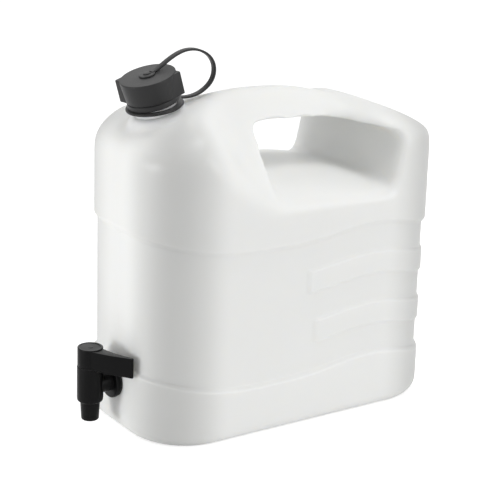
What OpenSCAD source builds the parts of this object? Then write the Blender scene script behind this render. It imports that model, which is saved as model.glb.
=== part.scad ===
// Water jerrycan with a screw cap, a cap tether and a turn tap.
// +X is the rear, -X the tap's end, +Z up. The origin is on the ground under the middle of the whole object.
// The modules are drawn about the middle of the container, and placed() moves them into that frame.

/* [Body] */
// Length of the body, tap end to rear
body_l = 300; // [280:2:330]
// Width of the body
body_w = 158; // [150:2:180]
// Radius of the upright corners, seen from above
corner_r = 56; // [45:1:60]
// Radius of the rolled edge round the base
base_edge_r = 13; // [8:1:16]
// Wall thickness of the blown shell
wall = 2.2; // [1.6:0.1:3]
// Height to the handle's crest
crest_z = 290.5; // [286:0.5:300]
// Height at which the tap and rear ends start to round over
shoulder_z = 240; // [232:1:246]
// Height at which the flanks beside the handle start to lean in
flank_z = 200; // [194:1:206]
// Depth of the push-up under the base
pushup_h = 4; // [2:0.5:6]

/* [Side mouldings] */
// How far the lower wall stands back from the foot and the upper band
recess_d = 3; // [2:0.2:4]
// Height of the ledge on top of the foot
foot_z = 52; // [44:1:60]
// Height of the step under the upper band
band_z = 173; // [166:1:180]
// Bottom of the lower grip rib
rib1_z = 79; // [74:1:84]
// Bottom of the upper grip rib
rib2_z = 126; // [120:1:130]
// Height of a grip rib
rib_h = 20.5; // [16:0.5:24]
// How far a grip rib stands out of the lower wall
rib_d = 1.8; // [1:0.1:2.2]
// Where the grip ribs begin, along the side
rib_x = 6; // [-20:1:30]
// Rise of the moulded wave on the tap end
wave_front = 9; // [4:0.5:10]
// Dip of the wave on the front half of the side
wave_dip = 4.5; // [2:0.5:6]
// Rise of the wave on the rear half of the side
wave_hump = 3.5; // [2:0.5:6]
// Dip of the wave round the rear end
wave_rear = 9; // [4:0.5:10]

/* [Handle] */
// Front face of the hand hole, at the grip
hole_x0 = -30; // [-36:1:-24]
// Rear end of the hand hole, at the grip
hole_x1 = 94; // [88:1:100]
// Rear end of the hand hole, at its floor
hole_floor_x1 = 83; // [76:1:88]
// Underside of the grip
grip_z = 264; // [260:1:268]
// Crest of the hand hole's floor
hole_floor_z = 223; // [220:0.5:228]
// Fall of the floor and of the grip's underside towards the rear
hole_fall = 13; // [8:1:16]
// Radius of the hand hole's corners at the floor
hole_r = 12; // [8:0.5:14]
// Radius of the hand hole's corners under the grip
grip_edge_r = 4; // [2:0.5:6]

/* [Neck] */
// Where the neck's axis meets its root
neck_x = -110.2; // [-114:0.2:-108]
// Height of the neck's root
neck_z = 271; // [268:0.2:273]
// Lean of the neck towards the tap end, in degrees
neck_tilt = 16; // [12:0.5:18]
// Outer radius of the neck
neck_r = 18.4; // [16:0.2:18.4]
// Wall of the neck
neck_wall = 2.4; // [2:0.2:3.4]
// Length of the neck, root to mouth
neck_h = 36.8; // [34:0.2:40]
// Room for the thread between the neck and the cap's skirt
thread_room = 1.7; // [1.5:0.1:1.9]

/* [Cap] */
// Radius of the cap's top
cap_r = 24; // [23.5:0.1:26]
// Radius of the skirt's lower edge
cap_skirt_r = 22.2; // [22:0.1:23]
// Height of the cap
cap_h = 23.5; // [22:0.5:24.5]
// Thickness of the cap's top
cap_top = 2.4; // [2:0.1:3]
// Thickness of the sealing disc
seal_h = 1.6; // [1:0.1:2]
// How far a grip wing's tip stands out of the skirt
wing_d = 4.2; // [3:0.2:5]
// Thickness of a grip wing at its tip
wing_w = 1.6; // [1.2:0.2:2.4]
// Height of a grip wing
wing_h = 19.4; // [16:0.2:20]
// Drop of a grip wing's top under the cap's top
wing_drop = 0.6; // [0:0.1:1.5]
// Bearing of the wings' tips, seen from above
wing_turn = -44; // [-90:1:90]

/* [Tether] */
// Outer radius of the ring round the neck
ring_r = 24.6; // [23:0.2:25]
// Height of the ring's middle above the neck's root
ring_z = 11.2; // [10:0.2:11.6]
// Slope of the ring, which the strap pulls down at the rear, in degrees
ring_slope = 3; // [1:0.5:4]
// Thickness of the ring, strap and head
tether_t = 2; // [1.6:0.1:2.4]
// Width of the strap
strap_w = 5.4; // [4:0.2:8]
// Radius of the head on the cap
head_r = 8.6; // [7:0.2:10]

/* [Tap] */
// Height of the tap's barrel
tap_z = 46; // [42:1:48]
// Distance of the valve's axis in front of the boss
valve_out = 23.6; // [22:0.2:26]
// Radius of the round boss, at the wall
boss_r = 34; // [28:1:36]
// How far the boss stands out of the lower wall
boss_h = 3.4; // [3.2:0.2:5]
// Radius of the valve chamber, outside
valve_r = 11.3; // [10.4:0.1:12]
// Bore of the valve chamber
valve_bore = 7.6; // [7:0.1:8]
// Height of the valve chamber's top above the barrel's axis
valve_rise = 17; // [15:0.5:18]
// Height of the valve chamber
valve_h = 31; // [30:0.5:34]
// Radius of the nozzle, outside
nozzle_r = 8.5; // [7.8:0.1:8.8]
// Taper of the nozzle over its length, on the radius
nozzle_taper = 0.9; // [0.4:0.1:1.2]
// Bore of the nozzle
nozzle_bore = 5.8; // [5:0.1:6]
// Length of the nozzle
nozzle_h = 18; // [14:0.5:20]
// Radius of the tap's flange
flange_r = 15.5; // [13:0.5:17]
// Thickness of the tap's flange
flange_h = 4; // [3:0.5:5]
// Thickness of the flange gasket
gasket_h = 2; // [1.5:0.1:2.5]
// Radius of the threaded shank
shank_r = 10.4; // [9:0.1:11]
// Length of the shank behind the boss
shank_l = 16; // [12:0.5:18]
// Bore of the shank
inlet_r = 5.4; // [4:0.1:5.6]
// Height of the lever
lever_h = 15.5; // [13:0.5:17]
// Reach of the lever from the valve's axis
lever_l = 41; // [36:0.5:42]
// How far the lever's end droops below the hub
lever_droop = 4.2; // [2:0.2:5]
// Height of the hub over the lever's arm
hub_step = 1.6; // [0.6:0.2:3]
// Bearing of the lever when closed, seen from above
lever_turn = -57; // [-60:1:-50]
// Radial clearance of the plug in its chamber
plug_fit = 0.05; // [0.02:0.01:0.1]

/* [Hidden] */

$fn = 64;
eps = 0.01;
gap = 0.3;
milky = "whitesmoke";
black = "dimgray";
rubber = "black";

// Plan of the body: corner centres, and stations that each hold a centre and an outward normal
half_l = body_l / 2;
half_w = body_w / 2;
centre_x = half_l - corner_r;
centre_y = half_w - corner_r;
corner_x = [1, -1, -1, 1];
corner_y = [1, 1, -1, -1];
arc_steps = 8;
rib_ramp = 2.5;
side_front = [for (f = [1:5]) -centre_x + (rib_x + centre_x) * f / 6];
side_rear = [for (f = [1:4]) rib_x + rib_ramp + (centre_x - rib_x - rib_ramp) * f / 5];
side_x = concat(side_front, [rib_x, rib_x + rib_ramp], side_rear);
end_y = [centre_y / 3, -centre_y / 3];

function arc_stations(q) = [for (i = [0:arc_steps])
    let (a = 90 * q + 90 * i / arc_steps)
    [corner_x[q] * centre_x, corner_y[q] * centre_y, cos(a), sin(a)]];
side_stations = [for (i = [len(side_x) - 1:-1:0]) [side_x[i], centre_y, 0, 1]];
side_back = [for (x = side_x) [x, -centre_y, 0, -1]];
stations = concat(
    [[centre_x, end_y[0], 1, 0]], arc_stations(0), side_stations, arc_stations(1),
    [for (y = end_y) [-centre_x, y, -1, 0]],
    arc_stations(2), side_back, arc_stations(3), [[centre_x, end_y[1], 1, 0]]);

// Distance along the girth from the middle of the side, as a share of the half girth
girth = centre_x + corner_r * PI / 2 + centre_y;
function along(s) = (s[0] + corner_r * asin(s[2]) * PI / 180
    + sign(round(s[2] * 1000) / 1000) * (abs(s[2]) > 0.999 ? centre_y - abs(s[1]) : 0)) / girth;

// The moulded wave: cosine ramps between its crests and dips
wave_knots = [[-1.01, wave_front], [-0.85, wave_front], [-0.25, -wave_dip], [-0.1, -wave_dip],
    [0.33, wave_hump], [0.75, -wave_rear], [1.01, -wave_rear]];
function ease(f) = (1 - cos(180 * f)) / 2;
function wave(u, k = 0) = u <= wave_knots[k + 1][0] || k == len(wave_knots) - 2
    ? let (a = wave_knots[k], b = wave_knots[k + 1])
        a[1] + (b[1] - a[1]) * ease((u - a[0]) / (b[0] - a[0]))
    : wave(u, k + 1);
function ramp(x, a, b) = ease(min(1, max(0, (x - a) / (b - a))));

// Share of rib at a station: none before rib_x, whole behind it and round the rear end
function rib(s) = s[0] + corner_r * s[2] >= rib_x + rib_ramp / 2 ? 1 : 0;

// How much a place along the body belongs to the handle, where the flanks lean in
handle_start = 85;
handle_full = 15;
handle_end = 50;
handle_past = 6;
function handle_share(x) = ramp(x, hole_x0 - handle_start, hole_x0 - handle_full)
    * (1 - ramp(x, hole_x1 - handle_end, hole_x1 + handle_past));

// Top of the body over its middle line
crest_x = -28;
crest_fall_front = 18.5;
crest_fall_rear = 30.5;
crest_front_l = 92;
crest_rear_l = 148;
function crest(x) = x < crest_x
    ? crest_z - crest_fall_front * pow((x - crest_x) / crest_front_l, 2)
    : crest_z - crest_fall_rear * pow((x - crest_x) / crest_rear_l, 2);
ridge_share = 0.2;
function ridge_x(x) = x * (1 - ridge_share * pow(abs(x) / half_l, 4));

// Cross-section of the top as a curve of the fifth degree: [share of the half width, share of the height]
end_curve = [[1, 0], [1, 0.42], [0.97, 0.85], [0.75, 1], [0.38, 1], [0, 1]];
mid_curve = [[1, 0], [1, 0.38], [0.55, 0.42], [0.22, 0.62], [0.27, 1], [0, 1]];
binomial = [1, 5, 10, 10, 5, 1];
function curve(points, t) = [for (c = [0:1])
    sum([for (i = [0:5]) binomial[i] * pow(t, i) * pow(1 - t, 5 - i) * points[i][c]])];
function sum(v, i = 0) = i < len(v) ? v[i] + sum(v, i + 1) : 0;

// Points of one wall ring: a station moved in by d, at height z plus its share of the wave
function wall_ring(d, z, wave_share, rib_share) = [for (s = stations)
    let (r = corner_r - d + rib_share * rib(s) * rib_d)
    [s[0] + s[2] * r, s[1] + s[3] * r, z + wave_share * wave(along(s))]];

// Points of one ring of the top, t from 0 at the wall to 1 on the middle line
function top_ring(t, d) = [for (s = stations)
    let (x = s[0] + s[2] * (corner_r - d), y = s[1] + s[3] * (corner_r - d))
    let (h = handle_share(x), c = (1 - h) * curve(end_curve, t) + h * curve(mid_curve, t))
    let (z0 = shoulder_z + (flank_z - shoulder_z) * h, k = ridge_x(x), kx = k + (x - k) * c[0])
    [kx, y * c[0], z0 + (crest(kx) - d - z0) * c[1]]];

// Rings stacked into one closed solid; the last ring is bridged across the middle line
function ring_faces(rings, n) = [for (i = [0:rings - 2], j = [0:n - 1], k = [0:1])
    let (a = i * n + j, b = i * n + (j + 1) % n, c = a + n, e = b + n)
    k == 0 ? [a, c, e] : [a, e, b]];
function bridge_faces(base, n) = [for (j = [0:n / 2 - 2], k = [0:1])
    let (a = base + j, b = base + j + 1, c = base + n - 2 - j, e = base + n - 1 - j)
    k == 0 ? [e, a, b] : [e, b, c]];
module lofted(rings) {
    n = len(rings[0]);
    polyhedron(
        points = [for (r = rings) each r],
        faces = concat([[for (j = [0:n - 1]) j]],
            ring_faces(len(rings), n),
            [for (f = bridge_faces((len(rings) - 1) * n, n)) [f[0], f[2], f[1]]]));
}

foot_flat = 10;
step_h = 1.8;
rib_flank = 1.2;
top_steps = [for (i = [0:13]) i / 13.5];
edge_turns = [22.5, 45, 67.5, 90];

function rib_rings(z) = [
    wall_ring(recess_d, z - rib_flank, 1, 0),
    wall_ring(recess_d, z + rib_flank, 1, 1),
    wall_ring(recess_d, z + rib_h - rib_flank, 1, 1),
    wall_ring(recess_d, z + rib_h + rib_flank, 1, 0)];

module outer_form() {
    lofted(concat(
        [wall_ring(base_edge_r + foot_flat + pushup_h, pushup_h, 0, 0),
            wall_ring(base_edge_r + foot_flat, 0, 0, 0),
            wall_ring(base_edge_r, 0, 0, 0)],
        [for (a = edge_turns) wall_ring(base_edge_r * (1 - sin(a)), base_edge_r * (1 - cos(a)), 0, 0)],
        [wall_ring(0, foot_z - step_h, 1, 0), wall_ring(recess_d, foot_z + step_h, 1, 0)],
        rib_rings(rib1_z), rib_rings(rib2_z),
        [wall_ring(recess_d, band_z - step_h, 1, 0), wall_ring(0, band_z + step_h, 1, 0)],
        [for (t = top_steps) top_ring(t, 0)]));
}

module inner_form() {
    deep = recess_d + wall;
    lofted(concat(
        [wall_ring(base_edge_r + foot_flat, pushup_h + wall, 0, 0),
            wall_ring(base_edge_r, pushup_h + wall, 0, 0),
            wall_ring(wall + 3, base_edge_r + wall, 0, 0),
            wall_ring(wall, foot_z - 2 * step_h, 1, 0), wall_ring(deep, foot_z + step_h, 1, 0),
            wall_ring(deep, band_z - step_h, 1, 0), wall_ring(wall, band_z + 2 * step_h, 1, 0)],
        [for (t = top_steps) top_ring(t, wall)]));
}

// The hand hole: slabs of a slot that runs across the body, its floor rolling down at each side
slab_shares = [0.25, 0.5, 0.7, 0.85, 0.95, 1.08];
slab_y = concat([for (i = [len(slab_shares) - 1:-1:0]) -slab_shares[i] * half_w], slab_shares * half_w);
hole_mid_x = 26;
hole_lean = 4;
hole_flare = 8;
floor_low = 190;
function floor_z(top, y) = floor_low
    + (top - floor_low) * pow(max(0, 1 - pow(abs(y) / half_w / slab_shares[5], 2.6)), 0.5);
function arc(x, z, r, from) = [for (i = [0:4]) let (a = from + 22.5 * i) [x + r * cos(a), z + r * sin(a)]];

// Front and rear half of the slot's outline at one y, each convex
function hole_front(y, grow) =
    let (x = hole_x0 - hole_lean - hole_flare * pow(abs(y) / half_w, 2), z = floor_z(hole_floor_z, y))
    concat(arc(x + hole_r, z + hole_r, hole_r + grow, 180), [[hole_mid_x, z - grow], [hole_mid_x, grip_z + grow]],
        arc(hole_x0 + grip_edge_r, grip_z + 0.5 - grip_edge_r, grip_edge_r + grow, 90));
function hole_rear(y, grow) =
    let (z = floor_z(hole_floor_z - hole_fall, y), top = grip_z - hole_fall + 3)
    concat([[hole_mid_x, grip_z + grow], [hole_mid_x, floor_z(hole_floor_z, y) - grow]],
        arc(hole_floor_x1 - hole_r, z + hole_r, hole_r + grow, 270),
        arc(hole_x1 - grip_edge_r, top - grip_edge_r, grip_edge_r + grow, 0));

module slab(y0, outline0, y1, outline1) {
    n = len(outline0);
    hull() polyhedron(
        points = concat([for (p = outline0) [p[0], y0, p[1]]], [for (p = outline1) [p[0], y1, p[1]]]),
        faces = concat([[for (j = [n - 1:-1:0]) j]], [[for (j = [0:n - 1]) n + j]],
            [for (f = ring_faces(2, n)) [f[0], f[2], f[1]]]));
}

module hand_hole(grow) {
    for (i = [0:len(slab_y) - 2]) let (y0 = slab_y[i], y1 = slab_y[i + 1]) {
        slab(y0, hole_front(y0, grow), y1, hole_front(y1, grow));
        slab(y0, hole_rear(y0, grow), y1, hole_rear(y1, grow));
    }
}

module on_neck() {
    translate([neck_x, 0, neck_z]) rotate([0, -neck_tilt, 0]) children();
}

// Neck: flared root, bead under the cap
root_h = 7;
root_r = neck_r + 6;
root_deep = 14;
bore_deep = 20;
bead_z = ring_z + ring_r * sin(ring_slope) + tether_t / 2 + gap;
bead_r = neck_r + 1.1;
bore_r = neck_r - neck_wall;
module neck_outside() {
    rotate_extrude() polygon([[0, -root_deep], [root_r, -root_deep], [root_r, -2], [neck_r + 2.4, 1.5],
        [neck_r + 0.6, root_h - 2], [neck_r, root_h], [neck_r, bead_z], [bead_r, bead_z + 0.6],
        [bead_r, bead_z + 1], [neck_r, bead_z + 1.6], [neck_r, neck_h - 0.8], [neck_r - 0.8, neck_h], [0, neck_h]]);
}

// Tap boss on the lower wall, with a threaded collar behind it
wall_x = -half_l + recess_d;
boss_x = wall_x - boss_h;
boss_flank = 6;
collar_r = shank_r + gap + 3.4;
collar_l = shank_l - 2;
module tap_boss(outer) {
    translate([0, 0, tap_z]) rotate([0, 90, 0]) if (outer) {
        translate([0, 0, boss_x]) cylinder(r1 = boss_r - boss_flank, r2 = boss_r + 3, h = boss_h + 4);
    } else {
        translate([0, 0, wall_x - 1]) cylinder(r1 = boss_r - boss_flank - 2, r2 = boss_r, h = 3 + wall);
    }
}

module container() {
    color(milky) placed() difference() {
        union() {
            outer_form();
            tap_boss(true);
            on_neck() neck_outside();
        }
        difference() {
            inner_form();
            hand_hole(wall);
            translate([boss_x + wall, 0, tap_z]) rotate([0, 90, 0]) cylinder(r = collar_r, h = collar_l);
        }
        hand_hole(0);
        on_neck() translate([0, 0, -bore_deep]) cylinder(r = bore_r, h = bore_deep + neck_h + 1);
        translate([boss_x - 1, 0, tap_z]) rotate([0, 90, 0]) cylinder(r = shank_r + gap, h = collar_l + wall + 3);
    }
}

// Cap, drawn on the neck's axis from the neck's root
seal_gap = 0.1;
cap_z1 = neck_h + seal_gap + seal_h + cap_top;
cap_z0 = cap_z1 - cap_h;
cap_bore = neck_r + thread_room;
stud_r = 2.4;
stud_h = tether_t + 0.5;
// A wing leaves the cap on a tangent and turns back to it behind the tip; the tip is at bearing 0
wing_back = 16;
wing_root_r = cap_bore + 0.8;
module cap_wing() {
    tip_r = cap_r + wing_d;
    from = -acos(cap_r / tip_r);
    translate([0, 0, cap_z1 - wing_drop - wing_h]) linear_extrude(wing_h) polygon(concat(
        [for (i = [4:-1:0]) let (a = from + (wing_back - from) * i / 4) wing_root_r * [cos(a), sin(a)]],
        [cap_r * [cos(from), sin(from)], [tip_r, 0], [tip_r - wing_w / 3, wing_w]],
        [cap_skirt_r * [cos(wing_back), sin(wing_back)]]));
}

module cap() {
    color(black) placed() on_neck() {
        rotate_extrude() polygon([[0, cap_z1], [0, cap_z1 - cap_top], [cap_bore, cap_z1 - cap_top],
            [cap_bore, cap_z0], [cap_skirt_r, cap_z0], [cap_skirt_r, cap_z0 + 3.4],
            [cap_skirt_r - 0.4, cap_z0 + 3.8], [cap_r, cap_z1 - 1.2], [cap_r - 1.2, cap_z1]]);
        for (a = [0, 180]) rotate([0, 0, wing_turn + a]) cap_wing();
        translate([0, 0, cap_z1 - eps]) cylinder(r = stud_r, h = stud_h + gap);
        translate([0, 0, cap_z1 + stud_h]) cylinder(r1 = stud_r + 1.2, r2 = stud_r, h = 1.2);
    }
}

module cap_seal() {
    color(rubber) placed() on_neck() translate([0, 0, neck_h + seal_gap]) cylinder(r = cap_bore - 0.4, h = seal_h);
}

// Tether: ring under the cap, and a strap looped over to a head on the cap's stud
ring_bore = neck_r + 2 * gap;
head_z = cap_z1 + gap;
// Middle line of the strap beside the neck's axis, from the ring's rim out, round and over to the head:
// steps from the ring's rim and middle, from half way up, and from the head's underside
strap_low = [[-2.5, -1.2], [2.8, -1.8], [6.6, -3], [12.6, -3.8], [18.7, -3.6], [24.7, -2.3], [30.4, 0.1], [35.1, 4.1]];
strap_side_steps = [[38.1, -5.1], [38.7, 1.9]];
strap_high = [[60.8, -6], [55.3, 0.2], [48.1, 4.8], [39.9, 7.1], [31.8, 7], [24, 5.5], [16.4, 3.4], [9.8, 1.7]];
strap_knots = concat(
    [for (p = strap_low) [ring_r, ring_z] + p],
    [for (p = strap_side_steps) [ring_r, (ring_z + head_z) / 2] + p],
    [for (p = strap_high) [0, head_z] + p],
    [[2 * stud_r, head_z + tether_t / 2], [stud_r, head_z + tether_t / 2]]);
// Each pass cuts the corners of the line, so that it ends as a smooth curve
function rounded_path(p, passes) = passes == 0 ? p : rounded_path(concat([p[0]],
    [for (i = [0:len(p) - 2]) each [0.75 * p[i] + 0.25 * p[i + 1], 0.25 * p[i] + 0.75 * p[i + 1]]],
    [p[len(p) - 1]]), passes - 1);
strap_line = rounded_path(strap_knots, 1);
function strap_side(i) = let (n = len(strap_line) - 1)
    let (d = strap_line[min(n, i + 1)] - strap_line[max(0, i - 1)]) [-d[1], d[0]] / norm(d);
strap_outline = concat(
    [for (i = [0:len(strap_line) - 1]) strap_line[i] + strap_side(i) * tether_t / 2],
    [for (i = [len(strap_line) - 1:-1:0]) strap_line[i] - strap_side(i) * tether_t / 2]);

module tether() {
    color(black) placed() on_neck() {
        difference() {
            union() {
                ring_disc(ring_r, tether_t);
                translate([0, 0, head_z]) cylinder(r = head_r, h = tether_t);
                translate([0, strap_w / 2, 0]) rotate([90, 0, 0]) linear_extrude(strap_w) polygon(strap_outline);
            }
            ring_disc(ring_bore, tether_t + 2);
            translate([0, 0, head_z - 1]) cylinder(r = stud_r + gap, h = tether_t + 2);
        }
    }
}

module ring_disc(r, h) {
    translate([0, 0, ring_z]) rotate([0, ring_slope, 0]) translate([0, 0, -h / 2]) cylinder(r = r, h = h);
}

// Tap, with its barrel along X and its valve upright
valve_x = boss_x - valve_out;
flange_x = boss_x - gasket_h - flange_h;
valve_z1 = tap_z + valve_rise;
valve_z0 = valve_z1 - valve_h;

// Middle of the whole object along X, from the tap's valve chamber to the rear end
middle_x = (half_l + valve_x - valve_r) / 2;
module placed() {
    translate([-middle_x, 0, 0]) children();
}

module tap_body() {
    color(black) placed() difference() {
        union() {
            translate([valve_x, 0, valve_z0]) cylinder(r = valve_r, h = valve_h);
            translate([valve_x, 0, valve_z0 - 2]) cylinder(r1 = nozzle_r + 0.6, r2 = valve_r, h = 2);
            translate([valve_x, 0, valve_z0 - nozzle_h]) cylinder(r1 = nozzle_r - nozzle_taper, r2 = nozzle_r, h = nozzle_h);
            translate([valve_x, 0, tap_z]) rotate([0, 90, 0]) cylinder(r = valve_r - 2, h = flange_x - valve_x + 1);
            translate([flange_x, 0, tap_z]) rotate([0, 90, 0]) cylinder(r = flange_r, h = flange_h);
            translate([flange_x + 1, 0, tap_z]) rotate([0, 90, 0])
                cylinder(r = shank_r, h = flange_h - 1 + gasket_h + shank_l);
        }
        translate([valve_x, 0, valve_z0 + 2]) cylinder(r = valve_bore, h = valve_h);
        translate([valve_x, 0, valve_z0 - nozzle_h - 1]) cylinder(r = nozzle_bore, h = nozzle_h + 4);
        translate([valve_x, 0, tap_z]) rotate([0, 90, 0]) cylinder(r = inlet_r, h = valve_out + shank_l + 1);
    }
}

plug_r = valve_bore - plug_fit;
plug_z0 = valve_z0 + 2 + gap;
groove_z = valve_z1 - 4.2;
ring_t = 0.95;
tip_r = 1.6;
module tap_lever() {
    color(black) placed() translate([valve_x, 0, 0]) rotate([0, 0, lever_turn]) difference() {
        union() {
            difference() {
                translate([0, 0, plug_z0]) cylinder(r = plug_r, h = valve_z1 + gap - plug_z0 + 1);
                translate([0, 0, groove_z]) rotate_extrude()
                    translate([plug_r, 0]) square([2 * (plug_r - 5.6), 2 * ring_t + 0.2], center = true);
            }
            translate([0, 0, valve_z1 + gap]) cylinder(r = valve_r - 0.3, h = lever_h + hub_step);
            difference() {
                hull() {
                    translate([0, 0, valve_z1 + gap]) cylinder(r = valve_r - 0.6, h = lever_h);
                    translate([lever_l - tip_r, 0, valve_z1 + gap - lever_droop]) cylinder(r = tip_r, h = lever_h);
                }
                translate([0, 0, valve_z1 - lever_droop]) cylinder(r = valve_r + gap, h = lever_droop + gap);
            }
        }
        translate([0, 0, plug_z0 - 1]) cylinder(r = nozzle_bore - 0.4, h = groove_z - 3.2 - plug_z0);
        rotate([0, 0, 90 - lever_turn]) translate([0, 0, tap_z]) rotate([0, 90, 0]) cylinder(r = inlet_r - 0.4, h = 20);
    }
}

module tap_seal() {
    color(rubber) placed() translate([boss_x - gasket_h, 0, tap_z]) rotate([0, 90, 0]) difference() {
        cylinder(r = flange_r - 0.8, h = gasket_h);
        translate([0, 0, -1]) cylinder(r = shank_r + 0.2, h = gasket_h + 2);
    }
}

module plug_ring() {
    color(rubber) placed() translate([valve_x, 0, groove_z]) rotate_extrude()
        translate([plug_r - ring_t, 0]) circle(r = ring_t, $fn = 24);
}

container();
cap();
cap_seal();
tether();
tap_body();
tap_lever();
tap_seal();
plug_ring();
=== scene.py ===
import bmesh
import bpy
import numpy as np
from mathutils import Matrix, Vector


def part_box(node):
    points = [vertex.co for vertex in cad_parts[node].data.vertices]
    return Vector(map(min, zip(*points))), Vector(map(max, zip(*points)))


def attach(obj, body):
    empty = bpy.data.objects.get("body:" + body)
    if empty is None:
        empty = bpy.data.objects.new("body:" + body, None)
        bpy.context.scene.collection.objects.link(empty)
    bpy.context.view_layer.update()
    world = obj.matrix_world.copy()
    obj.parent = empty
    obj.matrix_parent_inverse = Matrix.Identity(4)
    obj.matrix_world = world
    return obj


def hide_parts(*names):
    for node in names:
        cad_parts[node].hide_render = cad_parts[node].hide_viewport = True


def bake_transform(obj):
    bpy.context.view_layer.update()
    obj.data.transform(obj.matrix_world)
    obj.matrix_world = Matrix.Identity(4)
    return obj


# Looks of a milky water jerrycan with a tethered screw cap and a turn tap.
# All shapes are worked out in millimetres about the middle of the can's foot print, +X to the rear,
# and addPiece() puts them into the shared frame in metres.
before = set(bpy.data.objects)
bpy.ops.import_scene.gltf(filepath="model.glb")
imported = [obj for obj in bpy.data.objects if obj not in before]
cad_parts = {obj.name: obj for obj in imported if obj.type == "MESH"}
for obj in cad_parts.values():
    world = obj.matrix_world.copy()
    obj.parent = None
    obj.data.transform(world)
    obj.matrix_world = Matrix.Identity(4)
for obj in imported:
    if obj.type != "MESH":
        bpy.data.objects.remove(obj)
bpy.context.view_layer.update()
mm = 0.001

can = {
    "length": 300, "width": 158, "cornerRadius": 56,
    "baseEdge": 13, "footFlat": 10, "pushUp": 4,
    "recess": 3, "footTop": 52, "bandBottom": 173, "stepHalf": 2.2, "bandHalf": 3.2,
    "ribs": [[79, 4.5], [126, -4]], "ribHeight": 20.5, "ribLift": 1.8, "ribStart": 3, "ribFlank": 1.7,
    "wave": [[-1.01, 9], [-0.85, 9], [-0.25, -4.5], [-0.1, -4.5], [0.33, 3.5], [0.75, -9], [1.01, -9]],
    "crest": 290.5, "crestX": -28, "fallFront": 18.5, "frontLength": 92, "fallRear": 30.5, "rearLength": 148,
    "swells": [[60, -1.5, 20], [118, 1.0, 22]], "shoulder": 240, "flank": 200, "ridgeShare": 0.2,
    "endCurve": [[1, 0], [1, 0.42], [0.97, 0.85], [0.75, 1], [0.38, 1], [0, 1]],
    "midCurve": [[1, 0], [1, 0.38], [0.55, 0.42], [0.22, 0.62], [0.27, 1], [0, 1]],
    "handleStart": 85, "handleFull": 15, "handleEnd": 50, "handlePast": 6,
    "columns": 360, "topRows": 72, "ridgeEnd": 0.985, "seam": 193, "overlap": 12,
    "voxel": 1.9, "softening": 14,
}
hole = {
    "x0": -30, "x1": 94, "floorX1": 83, "gripUnder": 264, "floor": 223, "fall": 13, "middle": 26,
    "lean": 4, "flare": 8, "floorEdge": 190, "reach": 1.08, "roll": 2.6, "trims": [12, 28, 12, 5, 38, 5],
    "frontLift": 0.5, "rearLift": 3,
}
# where the hand hole's rim is rounded: how strongly, and where that sets in and fades on each axis
rims = {
    "passes": 36,
    "lower": {"share": 0.5, "rises": [["y", 18, 40], ["x", -62, -40], ["z", 196, 204]],
              "falls": [["z", 240, 254]]},
    "rear": {"share": 0.5, "rises": [["y", 18, 40], ["x", 66, 80], ["z", 196, 204]],
             "falls": [["x", 112, 130], ["z", 258, 270]]},
    "grip": {"share": 0.22, "rises": [["y", 8, 18], ["x", -50, -35], ["z", 236, 244]],
             "falls": [["x", 95, 110], ["z", 266, 278]]},
}
neck = {
    "x": -110.2, "z": 271, "tilt": 16, "radius": 18.4, "wall": 2.4, "height": 36.8, "sunk": 6, "lip": 0.9,
    "bead": 16.5, "beadOut": 1.1, "threadFrom": 21, "threadPitch": 4, "threadTurns": 2.5, "threadDepth": 1.1,
    "threadSection": [[-0.3, -1.5], [0.99, -0.45], [0.99, 0.45], [-0.3, 1.5]],
    "flare": [[15, -16], [13, -5], [8.5, 0.5], [5.5, 4.5], [3.4, 8], [0.6, 9.5]],
}
tapBoss = {"z": 46, "plane": 150.4, "radius": 26, "outer": 38, "wall": 144, "blend": 0.6}
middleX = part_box("container")[1].x / mm - can["length"] / 2
print("frame loaded; the can's middle stands at x = %.2f mm" % middleX)


def ease(f):
    # half a cosine wave from 0 to 1
    return (1 - np.cos(np.pi * f)) / 2


def ramp(x, a, b):
    # 0 before a, 1 after b, half a cosine wave between them
    return ease(np.clip((x - a) / (b - a), 0, 1))


def gridFaces(rows, columns, closedRows=False):
    # quads of a grid whose columns close on themselves; rows that go up and columns that go
    # anticlockwise seen from above face outwards
    last = rows if closedRows else rows - 1
    i, j = np.meshgrid(np.arange(last), np.arange(columns), indexing="ij")
    k, n = (j + 1) % columns, (i + 1) % rows
    quads = np.stack([i * columns + j, i * columns + k, n * columns + k, n * columns + j], -1)
    return quads.reshape(-1, 4).tolist()


def firstCap(columns):
    # one face across the first row of a grid
    return [list(range(columns - 1, -1, -1))]


def loft(points):
    # a solid through closed rows of points, with one face across each end
    rows, columns = points.shape[:2]
    lastCap = [list(range((rows - 1) * columns, rows * columns))]
    return points.reshape(-1, 3), gridFaces(rows, columns) + firstCap(columns) + lastCap


def bridgeFaces(start, count):
    # quads across a ring whose second half mirrors its first
    j = np.arange(count // 2 - 1)
    return (start + np.stack([j, j + 1, count - 2 - j, count - 1 - j], -1)).tolist()


def lathe(profile, steps=96, closed=False):
    # each profile point [radius, height] turned round the Z axis
    profile = np.asarray(profile, float)
    turn = np.arange(steps) * 2 * np.pi / steps
    r, z = profile[:, :1], profile[:, 1:]
    points = np.stack([r * np.cos(turn), r * np.sin(turn), z + 0 * turn], -1)
    return points.reshape(-1, 3), gridFaces(len(profile), steps, closed)


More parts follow.
